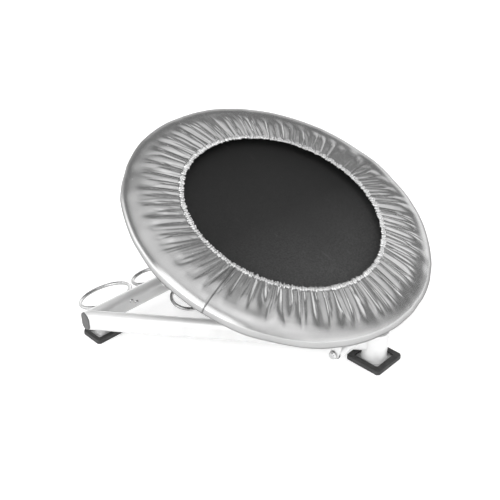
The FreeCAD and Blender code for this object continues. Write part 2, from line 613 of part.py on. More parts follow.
def build_ball_rings(bar_solid):
    """Six hoops: two sizes behind the bar on each side, and one in front of it on each side."""
    hoops = {}
    for name, side in SIDES.items():
        for label, spec, direction in RINGS:
            hoop = ring_solid(spec, direction, side)
            if direction < 0:
                hoop = hoop.cut(bar_solid)
            hoops[label + "_" + name] = hoop
    clips = []
    bolts = []
    nuts = []
    face = BAR_X - TUBE_WIDTH / 2
    bolt_list = [(side * y, z) for y, z in CLIP_BOLTS for side in SIDES.values()]
    for side in SIDES.values():
        for label, first in (("big", 0), ("small", 2)):
            middle_y = side * (CLIP_BOLTS[first][0] + CLIP_BOLTS[first + 1][0]) / 2
            middle_z = (CLIP_BOLTS[first][1] + CLIP_BOLTS[first + 1][1]) / 2
            corner = Vector(face - CLIP_THICK, middle_y - CLIP_WIDTH / 2, middle_z - CLIP_HEIGHT / 2)
            clip = Part.makeBox(CLIP_THICK, CLIP_WIDTH, CLIP_HEIGHT, corner)
            for hoop in hoops.values():
                clip = clip.cut(hoop)
            clip = clip.cut(bar_solid)
            clips.append(clip)
    brackets = []
    for name, side in SIDES.items():
        brackets.append(inner_bracket(side, bar_solid, hoops["inner_" + name]))
        bolt_list.append((side * INNER_RING["y"], BRACKET_BOLT_Z))
    holes = []
    for y, z in bolt_list:
        on_bracket = z == BRACKET_BOLT_Z
        start = face if on_bracket else face - CLIP_THICK
        inside = BAR_X + TUBE_WIDTH / 2 + (CLIP_THICK if on_bracket else 0.0)
        bolts.append(dome_bolt(start, inside, y, z))
        nut = hex_prism(CLIP_NUT_AF, CLIP_NUT_HEIGHT, Vector(start, y, z), X_AXIS * -1.0)
        nuts.append(cut_all(nut, list(hoops.values())))
        drill_from = Vector(BAR_X - TUBE_WIDTH, y, z)
        holes.append(Part.makeCylinder(CLIP_BOLT_R, 2 * TUBE_WIDTH, drill_from, X_AXIS))
    for name, hoop in hoops.items():
        save("ball_ring_" + name, cut_all(hoop, bolts))
    drill = Part.makeCompound(holes)
    save("ring_clips", [clip.cut(drill) for clip in clips])
    save("inner_ring_brackets", [bracket.cut(drill) for bracket in brackets])
    save("ring_bolts", bolts)
    save("ring_nuts", nuts)
    return drill


def dome_bolt(start, seat, y, z):
    """A domed bolt along X, its head standing on the plane x = seat."""
    shank = Part.makeCylinder(CLIP_BOLT_R, seat - start, Vector(start, y, z), X_AXIS)
    sink = CLIP_DOME_R - CLIP_DOME_HEIGHT
    dome = Part.makeSphere(CLIP_DOME_R, Vector(seat - sink, y, z))
    return shank.fuse(dome.cut(half_space(Vector(seat, 0, 0), X_AXIS * -1.0))).removeSplitter()


def cut_all(shape, tools):
    """The largest solid left after cutting every tool from a shape."""
    for tool in tools:
        shape = shape.cut(tool)
    return max(shape.Solids, key=lambda solid: solid.Volume)


def inner_bracket(side, bar_solid, hoop):
    """A flat arm from the bar's front face out to the inner hoop, with an upright bolting flange."""
    y0 = side * INNER_RING["y"] - BRACKET_WIDTH / 2
    face = BAR_X + TUBE_WIDTH / 2
    level = INNER_RING["z"]
    reach = INNER_RING["reach"] - TUBE_WIDTH / 2 + BRACKET_OVERLAP
    rise = TUBE_Z + BRACKET_RISE - level + BRACKET_THICK
    corner = Vector(face, y0, level - BRACKET_THICK)
    flange = Part.makeBox(CLIP_THICK, BRACKET_WIDTH, rise, corner)
    arm = Part.makeBox(reach, BRACKET_WIDTH, BRACKET_THICK, corner)
    return flange.fuse(arm).removeSplitter().cut(bar_solid).cut(hoop)


bar, bar_solid, arm_solids = build_base_tubes()
for label in SIDES:
    spot = Vector(BAR_X, SIDES[label] * REAR_FOOT_Y, 0)
    build_foot("rear_" + label, spot, (REAR_PLATE_X, REAR_PLATE_Y), (REAR_TRAY_X, REAR_TRAY_Y))
build_foot("front", Vector(POST_X, 0, 0), (FRONT_PLATE, FRONT_PLATE), (FRONT_TRAY, FRONT_TRAY))
build_posts(bar_solid, arm_solids)
build_hinge()
drill = build_ball_rings(bar_solid)
save("rear_bar", bar.cut(drill))
skirt_slots = build_bed_frame()
build_mat()
build_springs()
build_padding(skirt_slots)
build_strut(bar_solid)
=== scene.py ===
import json
import math

import bmesh
import bpy
import numpy as np
from mathutils import Matrix, Vector


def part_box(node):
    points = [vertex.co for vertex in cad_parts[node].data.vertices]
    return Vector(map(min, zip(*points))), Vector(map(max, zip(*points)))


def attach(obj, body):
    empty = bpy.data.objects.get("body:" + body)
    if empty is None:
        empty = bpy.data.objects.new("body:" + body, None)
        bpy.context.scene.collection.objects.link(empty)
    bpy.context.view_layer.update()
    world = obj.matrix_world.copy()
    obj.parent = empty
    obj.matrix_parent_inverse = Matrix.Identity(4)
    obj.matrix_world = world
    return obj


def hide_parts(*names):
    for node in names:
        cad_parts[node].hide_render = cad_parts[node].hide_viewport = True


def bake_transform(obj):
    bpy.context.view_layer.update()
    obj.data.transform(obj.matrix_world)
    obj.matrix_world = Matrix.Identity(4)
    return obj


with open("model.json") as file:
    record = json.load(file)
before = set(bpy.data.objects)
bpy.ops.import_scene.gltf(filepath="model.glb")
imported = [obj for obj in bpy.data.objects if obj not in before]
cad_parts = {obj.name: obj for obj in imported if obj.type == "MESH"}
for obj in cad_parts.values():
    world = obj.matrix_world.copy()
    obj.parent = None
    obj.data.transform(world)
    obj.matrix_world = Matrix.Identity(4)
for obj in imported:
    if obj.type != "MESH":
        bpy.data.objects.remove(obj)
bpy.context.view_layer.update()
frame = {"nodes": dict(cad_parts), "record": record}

# A tilted ball-rebound trampoline. Metres. +X is the bed's low front, -Y the right side, +Z up.
# The bed has a frame of its own: its origin is the round tube's centre, its Z the mat's normal.
RNG = np.random.default_rng(7)


def corners(node):
    low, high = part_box(node)
    return Vector(low), Vector(high)


def half_width(node):
    """Half a round node's size across, which its tilt about Y leaves as it is."""
    low, high = corners(node)
    return (high.y - low.y) / 2


def joint(name):
    return next(j for j in frame["record"]["behaviour"]["joints"] if j["name"] == name)


BED_NORMAL = Vector(joint("mat_bounce")["axis"]).normalized()
BED_TILT = math.atan2(BED_NORMAL.x, BED_NORMAL.z)
TUBE_LOW, TUBE_HIGH = corners("bed_frame_tube")
BED = Matrix.Translation((TUBE_LOW + TUBE_HIGH) / 2) @ Matrix.Rotation(BED_TILT, 4, "Y")

FRAME_TUBE_R = 0.016
FRAME_R = half_width("bed_frame_tube") - FRAME_TUBE_R
COVER_R = half_width("cover_rim_skirt")
MAT_R = half_width("jump_mat")
FOAM_R = half_width("foam_pad")
HEM_BAND = 0.0075
HEM_R = half_width("hem_elastic") - 0.006 + HEM_BAND
NOSE_R = COVER_R - FRAME_R
PANEL_TOP = 0.030
PANEL_CROWN = 0.0025
PANEL_EDGE_R = 0.446
RETURN_R = 0.440
VINYL_THICK = 0.0012
AROUND = 1440

# The cover's two radial seams, in degrees round the bed.
SEAMS_DEG = (90.0, 289.0)
# Gathers lean to one side or the other: degrees round the bed, and degrees of lean.
LEAN_AT = (0, 45, 84, 92, 130, 165, 190, 215, 240, 268, 286, 296, 312, 335, 350)
LEAN_DEG = (-10, -13, -12, 5, 7, 1, 13, 9, 1, -9, -5, 0, -2, -13, -13)
# Where the gathers end, as a radius: they run less far out at the raised side.
END_AT = (0, 60, 90, 110, 150, 180, 230, 300)
END_R = (0.470, 0.463, 0.454, 0.446, 0.442, 0.453, 0.465, 0.470)


def smooth(t):
    t = np.clip(t, 0.0, 1.0)
    return t * t * (3 - 2 * t)


def eased(radius, ease):
    """A smooth rise from 0 to 1 that starts at the first radius of ease and takes its width."""
    start, width = ease
    return smooth((radius - start) / width)


def wrapped(angle):
    return (angle + math.pi) % (2 * math.pi) - math.pi


def table_at(angle, places, values):
    return np.interp(math.degrees(angle) % 360, places, values, period=360)


def ripple(angle, count, seed):
    """A smooth random wave round the ring, about `count` swings to the turn."""
    rng = np.random.default_rng(seed)
    knots = rng.uniform(-1, 1, count * 2)
    place = (np.asarray(angle) / (2 * math.pi)) % 1.0 * len(knots)
    low = np.floor(place).astype(int)
    t = smooth(place - low)
    return knots[low % len(knots)] * (1 - t) + knots[(low + 1) % len(knots)] * t


# ---------------------------------------------------------------- meshes

# A wire that starts closer to upright than this takes its first side from X: the sine of the angle.
NEARLY_UPRIGHT = 0.1


def point_outwards(mesh):
    """Turn every face of a closed mesh to look outwards."""
    work = bmesh.new()
    work.from_mesh(mesh)
    bmesh.ops.recalc_face_normals(work, faces=work.faces)
    work.to_mesh(mesh)
    work.free()


def new_object(name, verts, faces, material=None, in_bed=True, smooth_shading=True):
    mesh = bpy.data.meshes.new(name)
    mesh.from_pydata([tuple(v) for v in verts], [], faces)
    if in_bed:
        mesh.transform(BED)
    if smooth_shading:
        point_outwards(mesh)
    mesh.update()
    if smooth_shading:
        mesh.shade_smooth()
    obj = bpy.data.objects.new(name, mesh)
    bpy.context.scene.collection.objects.link(obj)
    if material:
        mesh.materials.append(material)
    return obj


def lattice_faces(rows, columns, close_columns):
    """Quads of a grid that closes on itself from the last row to the first."""
    faces = []
    last = columns if close_columns else columns - 1
    for i in range(rows):
        a = i * columns
        b = (i + 1) % rows * columns
        for j in range(last):
            k = (j + 1) % columns
            faces.append((a + j, b + j, b + k, a + k))
    return faces


def around(theta, radius, height):
    """Vertices of a grid of radii and heights, one row for each angle."""
    across = radius * np.cos(theta)[:, None]
    aside = radius * np.sin(theta)[:, None]
    return np.stack([across, aside, height], axis=-1).reshape(-1, 3)


def full_turn(stations):
    """Angles spread evenly over a full turn, without the end."""
    return np.linspace(0, 2 * math.pi, stations, endpoint=False)


def ring_object(name, theta, radius, height, material):
    """A closed ring. radius and height are grids: a row per angle, a column per profile point."""
    verts = around(theta, radius, height)
    return new_object(name, verts, lattice_faces(*radius.shape, True), material)


def tube_data(points, radius, sides=8, closed=False):
    """Vertices and faces of a round wire along points; radius is one number or one for each."""
    points = np.asarray(points, float)
    count = len(points)
    thick = np.broadcast_to(np.asarray(radius, float), count)
    if closed:
        tangent = np.roll(points, -1, axis=0) - np.roll(points, 1, axis=0)
    else:
        tangent = np.gradient(points, axis=0)
    tangent /= np.linalg.norm(tangent, axis=1)[:, None]
    side = np.cross(tangent[0], (0.0, 0.0, 1.0))
    if np.linalg.norm(side) < NEARLY_UPRIGHT:
        side = np.cross(tangent[0], (1.0, 0.0, 0.0))
    side /= np.linalg.norm(side)
    turn = full_turn(sides)
    verts = np.zeros((count, sides, 3))
    for i in range(count):
        side = side - tangent[i] * side.dot(tangent[i])
        side /= np.linalg.norm(side)
        other = np.cross(tangent[i], side)
        circle = np.outer(np.cos(turn), side) + np.outer(np.sin(turn), other)
        verts[i] = points[i] + thick[i] * circle
    faces = lattice_faces(count, sides, True)
    if not closed:
        faces = faces[:(count - 1) * sides]
        faces.append(tuple(range(sides))[::-1])
        faces.append(tuple((count - 1) * sides + j for j in range(sides)))
    return verts.reshape(-1, 3), faces


def merged(parts):
    """One vertex list and one face list from several."""
    verts = []
    faces = []
    base = 0
    for part_verts, part_faces in parts:
        verts.append(part_verts)
        faces.extend(tuple(base + i for i in face) for face in part_faces)
        base += len(part_verts)
    return np.concatenate(verts), faces


def turned(verts, angle):
    """Vertices turned about the bed's axis."""
    c, s = math.cos(angle), math.sin(angle)
    return np.asarray(verts) @ np.array([[c, s, 0], [-s, c, 0], [0, 0, 1.0]])


# ---------------------------------------------------------------- materials

def grey_ramp(tree, source, stops):
    """Greys at positions along a source."""
    node = tree.nodes.new("ShaderNodeValToRGB")
    elements = node.color_ramp.elements
    while len(elements) < len(stops):
        elements.new(0.5)
    for element, (position, grey) in zip(elements, stops):
        element.position = position
        element.color = (grey, grey, grey, 1.0)
    tree.links.new(source, node.inputs["Fac"])
    return node.outputs["Color"]


def mix_colours(tree, kind, factor, a, b):
    """A mix of two colours. A number sets the factor, a tuple sets a colour, a socket is linked."""
    node = tree.nodes.new("ShaderNodeMix")
    node.data_type = "RGBA"
    node.blend_type = kind
    for name, value in (("Factor", factor), ("A", a), ("B", b)):
        socket = next(s for s in node.inputs if s.name == name and s.enabled)
        if isinstance(value, float):
            socket.default_value = value
        elif isinstance(value, tuple):
            socket.default_value = (*value, 1.0)
        else:
            tree.links.new(value, socket)
    return next(s for s in node.outputs if s.enabled)


def dot_with(tree, source, direction):
    node = tree.nodes.new("ShaderNodeVectorMath")
    node.operation = "DOT_PRODUCT"
    node.inputs[1].default_value = direction
    tree.links.new(source, node.inputs[0])
    return node.outputs["Value"]


class Material:
    """A procedural material on the Principled shader, with short calls for its usual nodes."""

    def __init__(self, name, roughness=0.5, metallic=0.0, **sockets):
        self.data = bpy.data.materials.new(name)
        self.data.use_nodes = True
        self.tree = self.data.node_tree
        self.shader = self.tree.nodes["Principled BSDF"]
        self.shader.inputs["Roughness"].default_value = roughness
        self.shader.inputs["Metallic"].default_value = metallic
        for socket, value in sockets.items():
            self.shader.inputs[socket.replace("_", " ")].default_value = value
        self.place = self.tree.nodes.new("ShaderNodeTexCoord").outputs["Object"]

    def link(self, a, b):
        self.tree.links.new(a, b)

    def turned_place(self):
        """Coordinates along the tilted bed."""
        node = self.tree.nodes.new("ShaderNodeMapping")
        node.vector_type = "TEXTURE"
        node.inputs["Location"].default_value = BED.to_translation()
        node.inputs["Rotation"].default_value = (0, BED_TILT, 0)
        self.link(self.place, node.inputs["Vector"])
        return node.outputs["Vector"]

    def noise(self, scale, detail=4.0, place=None, stretch=None):
        source = place or self.place
        if stretch:
            node = self.tree.nodes.new("ShaderNodeMapping")
            node.inputs["Scale"].default_value = stretch
            self.link(source, node.inputs["Vector"])
            source = node.outputs["Vector"]
        node = self.tree.nodes.new("ShaderNodeTexNoise")
        node.inputs["Scale"].default_value = scale
        node.inputs["Detail"].default_value = detail
        self.link(source, node.inputs["Vector"])
        return node.outputs["Fac"]

    def wave(self, scale, direction, place=None, distortion=0.0):
        node = self.tree.nodes.new("ShaderNodeTexWave")
        node.bands_direction = direction
        node.inputs["Scale"].default_value = scale
        node.inputs["Distortion"].default_value = distortion
        self.link(place or self.place, node.inputs["Vector"])
        return node.outputs["Fac"]

    def gradient(self, place, scale):
        """A rise from 0 to 1 along X, 0.5 at the origin, over 1 / scale metres."""
        node = self.tree.nodes.new("ShaderNodeSeparateXYZ")
        self.link(place, node.inputs["Vector"])
        return self.math("ADD", self.math("MULTIPLY", node.outputs["X"], scale), 0.5)

    def ray(self, place, degrees):
        """Distance from a ray that runs out from the origin in XY; large behind the origin."""
        angle = math.radians(degrees)
        aside = dot_with(self.tree, place, (-math.sin(angle), math.cos(angle), 0.0))
        behind = dot_with(self.tree, place, (-math.cos(angle), -math.sin(angle), 0.0))
        return self.math("MAXIMUM", self.math("ABSOLUTE", aside, 0.0), behind)

    def cells(self, scale, place=None):
        node = self.tree.nodes.new("ShaderNodeTexVoronoi")
        node.inputs["Scale"].default_value = scale
        self.link(place or self.place, node.inputs["Vector"])
        return node.outputs["Distance"]

    def ramp(self, source, *stops):
        return grey_ramp(self.tree, source, stops)

    def math(self, operation, a, b):
        node = self.tree.nodes.new("ShaderNodeMath")
        node.operation = operation
        for socket, value in zip(node.inputs, (a, b)):
            if isinstance(value, float):
                socket.default_value = value
            else:
                self.link(value, socket)
        return node.outputs["Value"]

    def mix(self, kind, factor, a, b):
        return mix_colours(self.tree, kind, factor, a, b)

    def colour(self, source):
        self.link(source, self.shader.inputs["Base Color"])

    def roughness(self, source, low, high):
        node = self.tree.nodes.new("ShaderNodeMapRange")
        node.inputs["To Min"].default_value = low
        node.inputs["To Max"].default_value = high
        self.link(source, node.inputs["Value"])
        self.link(node.outputs["Result"], self.shader.inputs["Roughness"])

    def bump(self, *layers):
        """Layers of (height source, strength, distance in metres)."""
        previous = None
        for source, strength, distance in layers:
            node = self.tree.nodes.new("ShaderNodeBump")
            node.inputs["Strength"].default_value = strength
            node.inputs["Distance"].default_value = distance
            self.link(source, node.inputs["Height"])
            if previous:
                self.link(previous, node.inputs["Normal"])
            previous = node.outputs["Normal"]
        self.link(previous, self.shader.inputs["Normal"])


def silver_vinyl():
    """Metallised vinyl, with a dark line of painted shade along the furrow of the second seam."""
    m = Material("silver_vinyl", roughness=0.25, metallic=0.90,
                 Specular_Tint=(0.25, 0.25, 0.25, 1.0))
    flat = m.turned_place()
    base = m.ramp(m.noise(9.0, 3.0), (0.3, 0.40), (0.7, 0.45))
    # Painted shade: the colour darkens to 0.35 within about a millimetre of the second seam's
    # furrow, where shade falls.
    painted_seam_shade = m.ramp(m.ray(flat, SEAMS_DEG[1]), (0.0004, 0.35), (0.0013, 1.0))
    m.colour(m.mix("MULTIPLY", 1.0, base, painted_seam_shade))
    m.roughness(m.noise(60.0, 5.0), 0.20, 0.30)
    m.bump((m.noise(900.0, 2.0), 0.05, 0.0003), (m.noise(90.0, 2.0), 0.03, 0.001))
    return m.data


def hem_cloth():
    m = Material("hem_cloth", roughness=0.25, metallic=0.85, Coat_Weight=0.2, Coat_Roughness=0.15)
    m.colour(m.ramp(m.noise(260.0, 3.0), (0.3, 0.42), (0.7, 0.72)))
    m.roughness(m.noise(300.0, 2.0), 0.16, 0.35)
    m.bump((m.noise(420.0, 3.0), 0.5, 0.0012))
    return m.data


def woven_mat():
    """Two crossing sets of threads, with faint scuffs where balls land, and a painted sheen that
    lightens the mat towards the bed's low front.
    """
    m = Material("woven_mat", roughness=0.62, Specular_IOR_Level=0.28)
    flat = m.turned_place()
    warp = m.wave(170.0, "X", flat)
    weft = m.wave(170.0, "Y", flat)
    threads = m.math("MULTIPLY", warp, weft)
    # Painted sheen: the colour is scaled from 0.14 at the raised back to 3.8 at the low front, in
    # place of the mat's glossy reflection.
    painted_sheen_ramp = m.ramp(m.gradient(flat, 1.35), (0.0, 0.14), (0.5, 0.80), (1.0, 3.8))
    scuff = m.noise(7.0, 6.0, flat, (1.0, 6.0, 1.0))
    scuff = m.ramp(scuff, (0.66, 0.0), (0.74, 1.0))
    cloud = m.noise(3.0, 4.0, flat)
    base = m.ramp(cloud, (0.3, 0.012), (0.75, 0.018))
    base = m.mix("MULTIPLY", 1.0, base, painted_sheen_ramp)
    grain = m.ramp(m.noise(210.0, 3.0, flat), (0.3, 0.65), (0.7, 1.35))
    base = m.mix("MULTIPLY", 1.0, base, grain)
    base = m.mix("MIX", m.math("MULTIPLY", scuff, 0.18), base, (0.16, 0.16, 0.165))
    base = m.mix("MULTIPLY", 0.35, base, m.ramp(threads, (0.0, 0.45), (0.5, 1.0)))
    m.colour(base)
    m.roughness(cloud, 0.56, 0.68)
    m.bump((threads, 0.5, 0.0006), (m.noise(60.0, 2.0), 0.15, 0.002))
    return m.data


def webbing():
    m = Material("webbing", roughness=0.8, Sheen_Weight=0.15)
    rib = m.wave(260.0, "DIAGONAL", m.turned_place(), 0.4)
    m.colour(m.ramp(rib, (0.0, 0.022), (1.0, 0.048)))
    m.bump((rib, 0.6, 0.0008))
    return m.data


def thread():
    m = Material("thread", roughness=0.65)
    m.colour(m.ramp(m.noise(500.0), (0.3, 0.10), (0.7, 0.17)))
    m.bump((m.wave(1500.0, "DIAGONAL"), 0.5, 0.0002))
    return m.data


def foam():
    m = Material("foam", roughness=0.95)
    cells = m.cells(420.0)
    m.colour(m.ramp(cells, (0.0, 0.13), (0.8, 0.22)))
    m.bump((cells, 0.5, 0.001), (m.noise(40.0), 0.2, 0.003))
    return m.data


def powder_coat(name, low, high, metallic=0.15):
    """Satin silver paint with a fine orange peel and a little grime."""
    m = Material(name, roughness=0.36, metallic=metallic, Coat_Weight=0.15, Coat_Roughness=0.25)
    m.colour(m.ramp(m.noise(14.0, 5.0), (0.3, low), (0.65, high)))
    m.roughness(m.noise(90.0, 4.0), 0.30, 0.44)
    m.bump((m.noise(750.0, 2.0), 0.12, 0.0003), (m.noise(70.0, 2.0), 0.05, 0.001))
    return m.data


def plated(name, low, high, rough_low=0.14, rough_high=0.32):
    """Zinc or chrome plate, a little dull in patches and brushed very finely."""
    m = Material(name, roughness=0.22, metallic=1.0)
    m.colour(m.ramp(m.noise(120.0, 4.0), (0.3, low), (0.7, high)))
    m.roughness(m.noise(220.0, 5.0), rough_low, rough_high)
    m.bump((m.noise(1400.0, 2.0), 0.12, 0.0002))
    return m.data


def rubber():
    m = Material("rubber_foot", roughness=0.72, Specular_IOR_Level=0.4)
    m.colour(m.ramp(m.noise(35.0, 5.0), (0.3, 0.020), (0.7, 0.042)))
    m.roughness(m.noise(80.0, 3.0), 0.6, 0.82)
    m.bump((m.noise(1100.0, 3.0), 0.35, 0.0004))
    return m.data


def plastic(name, low, high):
    m = Material(name, roughness=0.45)
    m.colour(m.ramp(m.noise(60.0, 4.0), (0.3, low), (0.7, high)))
    m.roughness(m.noise(200.0, 3.0), 0.38, 0.55)
    m.bump((m.cells(1300.0), 0.25, 0.0003))
    return m.data


def floor_paper():
    m = Material("floor_paper", roughness=0.9, Emission_Color=(1.0, 1.0, 1.0, 1.0),
                 Emission_Strength=0.38)
    m.colour(m.ramp(m.noise(1.5, 3.0), (0.3, 0.90), (0.7, 0.92)))
    m.bump((m.noise(300.0, 2.0), 0.02, 0.0005))
    return m.data


MATERIALS = {
    "silver_coat": powder_coat("silver_coat", 0.62, 0.69, 0.3),
    "ring_coat": plated("ring_coat", 0.36, 0.48, 0.2, 0.36),
    "rubber_foot": rubber(),
    "zinc_hardware": plated("zinc_hardware", 0.45, 0.62),
    "spring_wire": plated("spring_wire", 0.45, 0.60, 0.2, 0.38),
    "bare_steel": plated("bare_steel", 0.40, 0.55, 0.3, 0.5),
    "black_plastic": plastic("black_plastic", 0.018, 0.032),
    "grey_plastic": plastic("grey_plastic", 0.05, 0.08),
    "woven_mat": woven_mat(),
    "webbing": webbing(),
    "foam": foam(),
    "silver_vinyl": silver_vinyl(),
    "elastic": hem_cloth(),
}
THREAD = thread()


def finish_cad_nodes():
    """Every rigid node keeps its shape and takes the material of its slot."""
    slots = {row["node"]: row["material_slot"] for row in frame["record"]["subparts"]}
    for name, node in frame["nodes"].items():
        node.data.materials.clear()
        node.data.materials.append(MATERIALS[slots[name]])


def dress(obj, body, slot, *nodes):
    """A new piece rides a body when one is given and may stand for CAD nodes, which it hides. The
    slot argument is not used.
    """
    if nodes:
        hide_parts(*nodes)
    if body:
        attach(obj, body)


# ---------------------------------------------------------------- cover

# Gathers: count, share of the full run, its spread, height, half width at the hem, and the growth
# of that width outwards.
GATHERS = (
    (66, 0.98, 0.10, 0.0056, 0.0128, 0.85),
    (92, 0.80, 0.20, 0.0038, 0.0078, 0.70),
    (170, 0.34, 0.16, 0.0018, 0.0040, 0.50),
)
# The same for the sharp creases between them, which go below the panel.
CREASES = (
    (70, 0.88, 0.16, 0.0026, 0.0034, 0.40),
    (110, 0.45, 0.20, 0.0015, 0.0024, 0.30),
)
GATHER_PEAK = 1.8
CREASE_PEAK = 1.2
CREST_POWER = 1.15
# A fold fades over this share of its run at the tip, and rises over this share from its root.
TIP_SHARE = 0.40
TIP_POWER = 0.8
ROOT_SHARE = 0.10
ROOT_HEIGHT = 0.45
# How the folds stray: place as a share of the pitch, lean in degrees, height, width and bend.
PLACE_STRAY = 0.36
LEAN_STRAY = 2.2
TALL_RANGE = (0.6, 1.15)
WIDE_RANGE = (0.75, 1.2)
BEND_STRAY = 0.012
# How far beyond its tip a fold goes on bending and widening, as a share of its run.
BEND_LIMIT = 1.2
WIDE_LIMIT = 1.3
EASE_ROUNDS = 2


def pleats(theta, radius, families, peak):
    """The highest of many pleats at each place, on a grid of angles and radii."""
    field = np.zeros((len(theta), len(radius)))
    for count, share, spread, height, width, growth in families:
        for k in range(count):
            centre = 2 * math.pi * (k + RNG.uniform(-PLACE_STRAY, PLACE_STRAY)) / count
            lean = table_at(centre, LEAN_AT, LEAN_DEG) + RNG.normal(0, LEAN_STRAY)
            full = table_at(centre, END_AT, END_R) - HEM_R
            run = full * (share + spread * RNG.uniform(-1, 1))
            tall = height * RNG.uniform(*TALL_RANGE)
            wide = width * RNG.uniform(*WIDE_RANGE)
            bend = RNG.normal(0, BEND_STRAY)
            along = (radius - HEM_R) / run
            line = centre + math.tan(math.radians(lean)) * np.log(radius / HEM_R)
            line += bend * np.clip(along, 0, BEND_LIMIT) ** 2
            angular = wide * (1 + growth * np.clip(along, 0, WIDE_LIMIT)) / radius
            across = wrapped(theta[:, None] - line[None, :]) / angular
            crest = np.clip(1 - np.abs(across) ** peak, 0, None) ** CREST_POWER
            tip = smooth((1 - along) / TIP_SHARE) ** TIP_POWER
            root = ROOT_HEIGHT + (1 - ROOT_HEIGHT) * smooth(along / ROOT_SHARE)
            field = np.maximum(field, tall * crest * (tip * root)[None, :])
    return field


def gather_field(theta, radius):
    """Height of the gathers over the smooth panel, less the creases, eased round the ring."""
    field = pleats(theta, radius, GATHERS, GATHER_PEAK)
    field -= pleats(theta, radius, CREASES, CREASE_PEAK)
    for _ in range(EASE_ROUNDS):
        field = (np.roll(field, 1, axis=0) + 2 * field + np.roll(field, -1, axis=0)) / 4
    return field


# The panel rises and falls by PANEL_CROWN between CROWN_START and CROWN_SPAN further out.
CROWN_START = 0.335
CROWN_SPAN = 0.15
SHOULDER_POWER = 0.92
TOP_STATIONS = 58
SHOULDER_STATIONS = 26
NOSE_STATIONS = 12
UNDER_STATIONS = 12

# A radial seam: a furrow, and a raised lap on one side of it.
SEAM_STATIONS = 25
SEAM_MIDDLE_R = 0.42
SEAM_LAP = 0.009
LAP_RISE = 0.0006
LAP_EASE = 0.006
FURROW_DEPTH = 0.0013
FURROW_HALF_WIDTH = 0.0009
FURROW_SIDE = 0.001

# Slow waves in the skirt: swings to the turn, seed and height.
DRAPE = ((16, 3, 0.0018), (41, 4, 0.0006))
DRAPE_EASE = (0.43, 0.04)
# Puckers where the elastic draws the return in, and the profile points over which they ease in.
PUCKER = (130, 5, 0.0024)
PUCKER_LEAD = 6


def cover_profile():
    """Outer line of the cover: hem, top panel, shoulder, nose round the tube, and the return."""
    top_r = np.linspace(HEM_R, PANEL_EDGE_R, TOP_STATIONS)
    crown = np.sin(math.pi * np.clip((top_r - CROWN_START) / CROWN_SPAN, 0, 1))
    top_z = PANEL_TOP + PANEL_CROWN * crown
    shoulder = np.linspace(math.pi / 2, 0, SHOULDER_STATIONS)[1:]
    shoulder_r = PANEL_EDGE_R + (COVER_R - PANEL_EDGE_R) * np.cos(shoulder)
    shoulder_z = top_z[-1] * np.sin(shoulder) ** SHOULDER_POWER
    nose = np.linspace(0, -math.pi / 2, NOSE_STATIONS)[1:]
    nose_r = FRAME_R + NOSE_R * np.cos(nose)
    nose_z = NOSE_R * np.sin(nose)
    under_r = np.linspace(FRAME_R, RETURN_R, UNDER_STATIONS)[1:]
    under_z = np.full(len(under_r), -NOSE_R)
    radius = np.concatenate([top_r, shoulder_r, nose_r, under_r])
    height = np.concatenate([top_z, shoulder_z, nose_z, under_z])
    return radius, height, len(top_r) + len(shoulder_r), len(under_r)


def seam_refined(theta):
    """Extra stations close to the two radial seams."""
    fine = np.linspace(-SEAM_LAP, SEAM_LAP, SEAM_STATIONS) / SEAM_MIDDLE_R
    extra = np.concatenate([math.radians(s) + fine for s in SEAMS_DEG])
    return np.unique(np.round(np.sort(np.concatenate([theta, extra])), 6))


def seam_shape(theta, radius):
    """A narrow furrow with a raised lap beside it, along each radial seam."""
    total = np.zeros((len(theta), len(radius)))
    for place in SEAMS_DEG:
        off = wrapped(theta - math.radians(place))[:, None] * radius[None, :]
        total -= FURROW_DEPTH * np.exp(-(off / FURROW_HALF_WIDTH) ** 2)
        total += LAP_RISE * smooth((off + SEAM_LAP) / LAP_EASE) * smooth(-off / FURROW_SIDE)
    return total


def skirt_drape(theta, line_r):
    """Slow waves outside the gathers."""
    drape = sum(ripple(theta, count, seed) * height for count, seed, height in DRAPE)
    return drape[:, None] * eased(line_r, DRAPE_EASE)[None, :]


def return_pucker(theta, line_count, under_count):
    """Small outward puckers along the return below the tube."""
    count, seed, height = PUCKER
    start = line_count - under_count - PUCKER_LEAD
    edge = smooth((np.arange(line_count) - start) / (under_count + PUCKER_LEAD - 1.0))
    return (ripple(theta, count, seed)[:, None] * 0.5 + 0.5) * height * edge[None, :]


def build_cover():
    theta = seam_refined(full_turn(AROUND))
    line_r, line_z, top_count, under_count = cover_profile()
    radius = np.tile(line_r, (len(theta), 1))
    height = np.tile(line_z, (len(theta), 1))
    step_r = np.gradient(line_r)
    step_z = np.gradient(line_z)
    size = np.hypot(step_r, step_z)
    normal_r = -step_z / size
    normal_z = step_r / size
    lift = np.zeros_like(radius)
    lift[:, :top_count] = gather_field(theta, line_r[:top_count])
    lift += seam_shape(theta, line_r)
    lift += skirt_drape(theta, line_r)
    lift += return_pucker(theta, len(line_r), under_count)
    outer_r = radius + lift * normal_r
    outer_z = height + lift * normal_z
    inner_r = (outer_r - VINYL_THICK * normal_r)[:, ::-1]
    inner_z = (outer_z - VINYL_THICK * normal_z)[:, ::-1]
    cover = ring_object("vinyl_cover", theta, np.hstack([outer_r, inner_r]),
                        np.hstack([outer_z, inner_z]), MATERIALS["silver_vinyl"])
    dress(cover, "bed", "silver_vinyl", "cover_top_panel", "cover_rim_skirt")


# How the small gathers of a hem stray: place and half width as shares of the pitch, skew in
# radians, and height as a share of the full one.
BAND_PLACE_STRAY = 0.3
BAND_SKEW_STRAY = 0.0022
BAND_WIDE_RANGE = (0.38, 0.62)
BAND_TALL_RANGE = (0.35, 1.0)
BAND_SECTION = 16
# Half widths from a gather's middle within which it is worked out.
BAND_WINDOW = 2.5
BAND_MEAN = 0.45
# A slow wander in and out: swings to the turn, and amount.
BAND_WANDER = (60, 0.0007)


